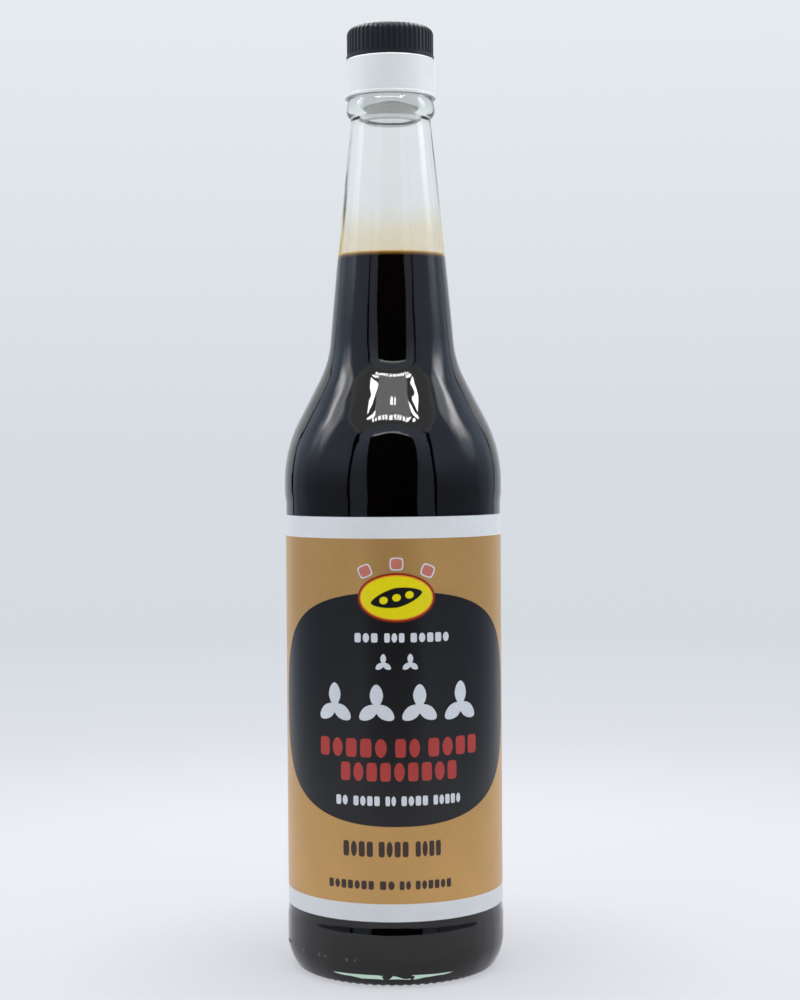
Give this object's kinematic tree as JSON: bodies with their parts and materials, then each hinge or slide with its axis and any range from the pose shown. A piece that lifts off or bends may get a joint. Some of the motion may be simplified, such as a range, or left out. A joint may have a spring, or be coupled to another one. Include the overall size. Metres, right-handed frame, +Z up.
{
  "type": "soy sauce bottle",
  "caption": "Clear glass soy sauce bottle with tapered neck, dark sauce, wrapped paper label, white pourer collar and black ribbed screw cap.",
  "frame": {"origin": "centre of the base, on the surface that the bottle stands on", "axes": "+Z up along the bottle's axis, -Y towards the front of the label, +X to the viewer's right"},
  "size_m": [0.0704, 0.0704, 0.3034],
  "materials": {
    "glass": "clear, smooth",
    "sauce": "dark brown liquid, near black",
    "paper": "coated paper, gold-brown with a dark field and white bands",
    "collar": "white, slightly translucent plastic",
    "cap": "black moulded plastic, satin"
  },
  "bodies": {
    "root": {"bottle": "glass", "soy_sauce": "sauce", "label": "paper", "pourer": "collar", "cap": "cap"}
  },
  "joints": []
}
